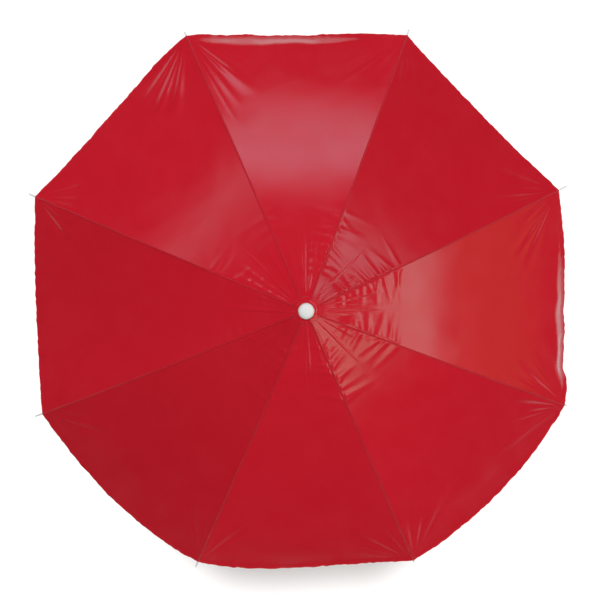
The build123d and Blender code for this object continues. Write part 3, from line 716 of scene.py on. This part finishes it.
def hem_stitches(name, points):
    """A row of short thread stitches that follows the hem, a little in from its edge."""
    n = upward_normals(points)
    rows = []
    for column in range(points.shape[1]):
        steps = np.linalg.norm(np.diff(points[::-1, column], axis=0), axis=1)
        rows.append(points.shape[0] - 2 - int(np.searchsorted(np.cumsum(steps), HEM_STITCH_INSET)))
    columns = np.arange(points.shape[1])
    return stitch_row(name, points[rows, columns], n[rows, columns], HEM_STITCH_PITCH)


for number, azimuth in enumerate(PANEL_AZIMUTHS):
    local, flat = Panel(number).surface()
    points = turned(local, azimuth)
    body = f"canopy_panel_{number + 1}"
    paints = [PANEL_SHADED_CLOTH[number], CLOTH_INSIDE]
    cloth = thick_sheet(f"canopy_cloth_{number + 1}", points, flat, CLOTH, paints, under=1)
    stitches = hem_stitches(f"hem_stitches_{number + 1}", points)
    for piece in (cloth, stitches):
        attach(piece, body)
        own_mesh(piece)
    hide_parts(body)

# ---- seams, and what holds the canopy to its ribs ---------------------------------------------
LEAN = tan(HALF_PANEL)
SEAM_HALF = 0.0021
SEAM_STARTS = 0.020
SEAM_PITCH = 0.0032
# A felled seam's section, a rounded ridge with a lower fold beside it: share of the half width, rise
SEAM_SECTION = (
    (-1.0, -0.0002),
    (-0.86, 0.0006),
    (-0.4, 0.0010),
    (0.0, 0.0013),
    (0.35, 0.0011),
    (0.62, 0.0006),
    (1.0, -0.0002),
)
# Each seam's two rows of stitches: its letter, sideways place and rise over the cloth
SEAM_ROWS = (("a", -0.0015, 0.00075), ("b", 0.0014, 0.00070))
UNDER_FALL = 0.11  # how much more steeply than the cloth the strips below it fall from a rib
TAPE_HALF = 0.0105
TAPE_SHARE = 0.30  # widest half tape as a share of the radius, near the crown
TAPE_STARTS = 0.034
TAPE_SECTION = (-1, -0.66, -0.33, 0, 0.33, 0.66, 1)
CAP_RADIUS = 0.0029  # round a rib's tip cap
CAP_FLANGE = 0.009
POCKET_LENGTH = 0.026
TIE_RADIUS = 0.0023  # round the bare wire
TIE_FLANGE = 0.007
TIE_HALF = 0.004
TIE_ARCS = (0.120, 0.400, 0.580)
LOOP_THICKNESS = 0.0005
TAPE_THICKNESS = 0.0003
STRIP_UV_HALF = 0.005


def seam_top(slope, radius):
    """Section of the felled seam over the rib."""
    fall = LEAN * sin(slope)
    full = CLOTH_LIFT + CLOTH / 2
    return [(SEAM_HALF * t, full - fall * abs(SEAM_HALF * t) + up) for t, up in SEAM_SECTION]


def seam_under(slope, radius):
    """Section of the tape that covers the seam inside."""
    fall = LEAN * sin(slope) + UNDER_FALL
    low = CLOTH_LIFT - CLOTH / 2 - TAPE_THICKNESS
    reach = min(TAPE_HALF, TAPE_SHARE * radius)
    return [(reach * t, low - fall * abs(reach * t)) for t in TAPE_SECTION]


def loop_under(loop_radius, flange):
    """Section of a strip sewn to the cloth on both sides that passes under the rib."""

    def section(slope, radius):
        fall = LEAN * sin(slope) + UNDER_FALL
        low = CLOTH_LIFT - CLOTH / 2 - 0.0010
        turns = [radians(180 + 22.5 * k) for k in range(1, 8)]
        under = [(loop_radius * cos(t), loop_radius * sin(t)) for t in turns]
        left = [(-share * flange, low - fall * share * flange) for share in (1, 0.6)]
        left.append((-loop_radius, low * 0.5))
        return left + under + [(-side, lift) for side, lift in reversed(left)]

    return section


def sew(piece, body):
    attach(piece, body)
    return piece


def strip_on_rib(name, number, arcs, section, thickness, paint):
    """A strip sewn along a rib, which moves with it."""
    points = ribbon_on_rib(RIB_AZIMUTHS[number], arcs, section)
    width = np.linspace(-STRIP_UV_HALF, STRIP_UV_HALF, points.shape[1])
    flat = np.stack(np.broadcast_arrays(width[None, :], arcs[:, None]), -1)
    strip = thick_sheet(name, points, flat, thickness, [paint])
    return sew(strip, f"rib_{number + 1}")


def seam_stitches(number, arcs):
    """The two rows of stitches along a seam."""
    sides = [(place, 0) for _, place, _ in SEAM_ROWS]
    rows = ribbon_on_rib(RIB_AZIMUTHS[number], arcs, lambda slope, radius: [*sides, (0, 0.001)])
    rise = rows[:, 2] - (rows[:, 0] + rows[:, 1]) / 2
    up = rise / np.linalg.norm(rise, axis=1, keepdims=True)
    for column, (letter, _, lift) in enumerate(SEAM_ROWS):
        track = rows[:, column] + up * (CLOTH_LIFT + CLOTH / 2 + lift)
        name = f"seam_stitches_{number + 1}_{letter}"
        sew(stitch_row(name, track, up, SEAM_PITCH, height=0.0), f"rib_{number + 1}")


tip_loop = loop_under(CAP_RADIUS, CAP_FLANGE)
tie_loop = loop_under(TIE_RADIUS, TIE_FLANGE)
for number, azimuth in enumerate(RIB_AZIMUTHS):
    rib = number + 1
    last = HEM_ARC + CORNER_SHIFT[number] - 0.002
    arcs = np.concatenate([np.linspace(SEAM_STARTS, 0.700, 124), np.linspace(0.705, last, 18)])
    strip_on_rib(f"seam_{rib}", number, arcs, seam_top, TAPE_THICKNESS, SEAM_RED)
    tape_arcs = arcs[arcs > TAPE_STARTS]
    tape = strip_on_rib(
        f"seam_tape_{rib}", number, tape_arcs, seam_under, TAPE_THICKNESS, WEBBING_RED
    )
    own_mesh(tape)
    seam_stitches(number, arcs)
    pocket_arcs = np.linspace(last - POCKET_LENGTH, last, 12)
    strip_on_rib(f"tip_pocket_{rib}", number, pocket_arcs, tip_loop, LOOP_THICKNESS, WEBBING_RED)
    for letter, arc in zip("abc", TIE_ARCS):
        tie_arcs = np.linspace(arc - TIE_HALF, arc + TIE_HALF, 5)
        strip_on_rib(
            f"rib_tie_{rib}_{letter}", number, tie_arcs, tie_loop, LOOP_THICKNESS, WEBBING_RED
        )

# ---- apex cover: a pleated round patch under the finial ----------------------------------------
COVER_INNER = 0.006
COVER_OUTER = 0.033
COVER_RADII = [*np.linspace(COVER_INNER, 0.019, 4), *np.linspace(0.021, COVER_OUTER, 13)]
COVER_ROUND = 288
COVER_TOP = CROWN + 0.0072
COVER_OVER = 0.0011
COVER_THICKNESS = 0.0006
COVER_RAGGED = 0.0006
COVER_PLEAT = 0.00055
CROWN_EDGE = 0.018


def cloth_height(radius, azimuth):
    """Height of the canopy's middle surface near the pole."""
    off = (azimuth + HALF_PANEL) % (2 * HALF_PANEL) - HALF_PANEL
    rib_radius = radius * np.cos(off) / cos(HALF_PANEL)
    slope = np.arcsin((rib_radius - HINGE_RADIUS) / (RIB_ARC_RADIUS + CLOTH_LIFT) + sin(ROOT_SLOPE))
    arc = (slope - ROOT_SLOPE) * RIB_ARC_RADIUS
    return rib_point(arc, CLOTH_LIFT)[1] + apex_rise(arc)


round_angles = np.linspace(0, 2 * pi, COVER_ROUND, endpoint=False)
fade = np.sin(round_angles / 2) ** 2  # noise has no jump where the round closes
ragged = noise_along(900, 48, round_angles / (2 * pi)) * fade
pleats = noise_along(910, 72, round_angles / (2 * pi)) * fade
cover_points = np.zeros((len(COVER_RADII), COVER_ROUND, 3))
for i, radius in enumerate(COVER_RADII):
    r = radius + COVER_RAGGED * smooth(radius, 0.024, COVER_OUTER) * ragged
    on_cloth = cloth_height(np.maximum(r, CROWN_EDGE), round_angles) + COVER_OVER
    held = smooth(radius, 0.019, 0.026)
    height = COVER_TOP * (1 - held) + np.minimum(on_cloth, COVER_TOP) * held
    height = height + COVER_PLEAT * pleats * smooth(radius, 0.021, 0.027)
    cover_points[i] = np.stack([r * np.cos(round_angles), r * np.sin(round_angles), height], -1)
cover = sew(thick_ring("apex_cover", cover_points, COVER_THICKNESS, [CLOTH_RED]), "canopy_pole")
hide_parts("apex_patch")
ring = np.concatenate([cover_points[-3], cover_points[-3][:1]])
ring_up = np.tile([0.0, 0.0, 1.0], (len(ring), 1))
cover_stitches = stitch_row("apex_stitches", ring, ring_up, SEAM_PITCH, COVER_THICKNESS / 2)
sew(cover_stitches, "canopy_pole")

# ---- tie strap, hanging inside the hem of the panel that faces -Y ------------------------------
STRAP_HALF = 0.009
STRAP_LENGTH = 0.130
STRAP_Y = -0.668
STRAP_THICKNESS = 0.0012
STRAP_UNDER = 0.009  # how far below its CAD solid's top it starts, clear of the cloth
STRAP_LEAN = 0.012  # how far it leans away from the pole per metre
PATCH_OUT = 0.0011
PATCH_THICKNESS = 0.0010
STRAP_STITCH_PITCH = 0.0034
# Touch-fastening patches: the strap's lengths where each starts and ends
PATCHES = (("strap_hook_patch", 0.094, 0.124), ("strap_loop_patch", 0.050, 0.080))
strap_box = [NODES["tie_strap"].matrix_world @ Vector(c) for c in NODES["tie_strap"].bound_box]
STRAP_TOP = max(c.z for c in strap_box) - STRAP_UNDER
down = np.linspace(0, STRAP_LENGTH, 90)
over = np.linspace(-1, 1, 15)
bow = 0.0016 * np.sin(down * 38) * smooth(down, 0, 0.05) - STRAP_LEAN * down
twist = 0.10 * np.sin(down * 21 + 0.4) * smooth(down, 0.01, 0.08)
corner = np.sqrt(np.clip(1 - smooth(down, STRAP_LENGTH - 0.0045, STRAP_LENGTH) ** 2, 0, 1))
x = over * (STRAP_HALF * (0.78 + 0.22 * corner))[:, None]
cords = 0.00012 * np.cos(over * pi * 5)
strap_points = np.stack(
    [
        x * np.cos(twist)[:, None],
        STRAP_Y + bow[:, None] + x * np.sin(twist)[:, None] + cords,
        np.broadcast_to(STRAP_TOP - down[:, None], x.shape),
    ],
    -1,
)
strap_flat = np.stack(np.broadcast_arrays(over[None, :] * STRAP_HALF, down[:, None]), -1)


def sheet_facing_out(name, points, flat, thickness, paint):
    """Like thick_sheet, for an upright sheet: its grid is turned so that up stands for out."""
    laid = thick_sheet(name, points[..., [0, 2, 1]] * np.array([1, -1, 1]), flat, thickness, [paint])
    co = np.empty(len(laid.data.vertices) * 3)
    laid.data.vertices.foreach_get("co", co)
    co = co.reshape(-1, 3) * np.array([1, -1, 1])
    laid.data.vertices.foreach_set("co", co[:, [0, 2, 1]].ravel())
    laid.data.update()
    return sew(laid, "tie_strap")


strap = sheet_facing_out("strap", strap_points, strap_flat, STRAP_THICKNESS, WEBBING_RED)
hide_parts("tie_strap")
for name, top, bottom in PATCHES:
    rows = np.where((down >= top) & (down <= bottom))[0]
    patch = strap_points[rows][:, 2:-2] + np.array([0, -PATCH_OUT, 0])
    flat = strap_flat[rows][:, 2:-2]
    sheet_facing_out(name, patch, flat, PATCH_THICKNESS, HOOK_RED)
for letter, column in (("a", 1), ("b", -2)):
    track = strap_points[:, column]
    facing = np.tile([0.0, -1.0, 0.0], (len(track), 1))
    name = f"strap_stitches_{letter}"
    row = stitch_row(name, track, facing, STRAP_STITCH_PITCH, STRAP_THICKNESS / 2)
    sew(row, "tie_strap")

# ---- stage, lights, camera --------------------------------------------------------------------
FLOOR_Z = CAD_BOX[0][2] - 0.002
HALF_FLOOR = 30.0
WORLD_LIGHT = 0.31
WORLD_MIRRORED = 0.06  # what glossy surfaces mirror of the world
SUN_TARGET = (0, 0, 0)
scene = bpy.context.scene
scene.view_settings.view_transform = "Standard"

floor_paint = Paint("studio_floor", (0.92, 0.92, 0.92), 0.9, Specular_IOR_Level=0.1)
floor_corners = [(x, y, FLOOR_Z) for x in (-HALF_FLOOR, HALF_FLOOR) for y in (-HALF_FLOOR, HALF_FLOOR)]
floor_plane = mesh_object("studio_floor", floor_corners, [(0, 2, 3, 1)], [floor_paint.material])

world = bpy.data.worlds.new("studio")
scene.world = world
world.use_nodes = True
nodes, links = world.node_tree.nodes, world.node_tree.links
background = nodes["Background"]
path = nodes.new("ShaderNodeLightPath")
strength = nodes.new("ShaderNodeMapRange")
links.new(path.outputs["Is Glossy Ray"], strength.inputs["Value"])
strength.inputs["To Min"].default_value = WORLD_LIGHT
strength.inputs["To Max"].default_value = WORLD_MIRRORED
brightest = nodes.new("ShaderNodeMath")
brightest.operation = "MAXIMUM"
links.new(strength.outputs["Result"], brightest.inputs[0])
links.new(path.outputs["Is Camera Ray"], brightest.inputs[1])
links.new(brightest.outputs[0], background.inputs["Strength"])
background.inputs["Color"].default_value = (1.0, 1.0, 1.0, 1)


def aim(ob, target):
    ob.rotation_euler = (Vector(target) - ob.location).to_track_quat("-Z", "Y").to_euler()


def softbox(name, azimuth, elevation, distance, width, height, radiance, colour, target=(0, 0, 1.6)):
    """A soft panel light that faces the canopy; radiance is relative to a white surface's 1.0."""
    data = bpy.data.lights.new(name, "AREA")
    data.shape = "RECTANGLE"
    data.size, data.size_y = width, height
    data.energy = radiance * pi * width * height
    data.color = colour
    ob = bpy.data.objects.new(name, data)
    a, e = radians(azimuth), radians(elevation)
    ob.location = Vector(target) + distance * Vector((cos(a) * cos(e), sin(a) * cos(e), sin(e)))
    scene.collection.objects.link(ob)
    aim(ob, target)
    ob.visible_camera = False


def sun(name, location, energy, angle):
    """A sun that lights the scene but isn't mirrored; angle is its width in degrees."""
    data = bpy.data.lights.new(name, "SUN")
    data.energy = energy
    data.angle = radians(angle)
    ob = bpy.data.objects.new(name, data)
    ob.location = location
    ob.visible_glossy = False
    scene.collection.objects.link(ob)
    aim(ob, SUN_TARGET)


softbox("softbox_back", 90, 33, 3.5, 2.2, 0.82, 2.5, (0.92, 0.97, 1.1), target=(0, 0.42, 1.575))
softbox("softbox_right", 0, 37, 3.9, 2.2, 0.85, 3.1, (1.0, 1.0, 0.88), target=(0.27, 0, 1.64))
softbox("softbox_low_right", 0, 22, 4.2, 2.6, 1.2, 0.34, (1.0, 1.0, 0.3), target=(0.5, 0, 1.5))
softbox("softbox_corner", 45, 45.5, 3.6, 1.6, 0.60, 2.3, (1.0, 1.0, 1.0))
softbox("softbox_front", -45, 43.5, 3.6, 1.6, 0.62, 2.9, (1.0, 1.0, 0.75))
softbox("softbox_left", 137, 40, 3.4, 0.8, 0.5, 1.3, (0.95, 0.97, 1.05), target=(-0.29, 0.28, 1.62))
softbox("softbox_edge", 117, 45, 3.2, 0.6, 0.62, 4.2, (0.92, 0.97, 1.1), target=(-0.27, 0.56, 1.44))
sun("overhead_key", (-0.10, 1.25, 4.0), 1.99, 5)
sun("overhead_fill", (0.1, -0.2, 4.0), 0.82, 45)

CAMERA_PLACE = (-0.118, 0.244, 4.913)
CAMERA_TARGET = Vector((-0.003, 0.003, 1.415))
CAMERA_ROLL = radians(-0.86)
camera_data = bpy.data.cameras.new("camera")
camera_data.lens = 82.7
camera_data.sensor_width = 36
camera_data.clip_end = 100
camera = bpy.data.objects.new("camera", camera_data)
camera.location = CAMERA_PLACE
scene.collection.objects.link(camera)
forward = (CAMERA_TARGET - camera.location).normalized()
level = forward.cross(Vector((0, 1, 0))).normalized()
upward = level.cross(forward)
right = cos(CAMERA_ROLL) * level + sin(CAMERA_ROLL) * upward
rise = cos(CAMERA_ROLL) * upward - sin(CAMERA_ROLL) * level
camera.rotation_euler = Matrix((right, rise, -forward)).transposed().to_euler()
scene.camera = camera
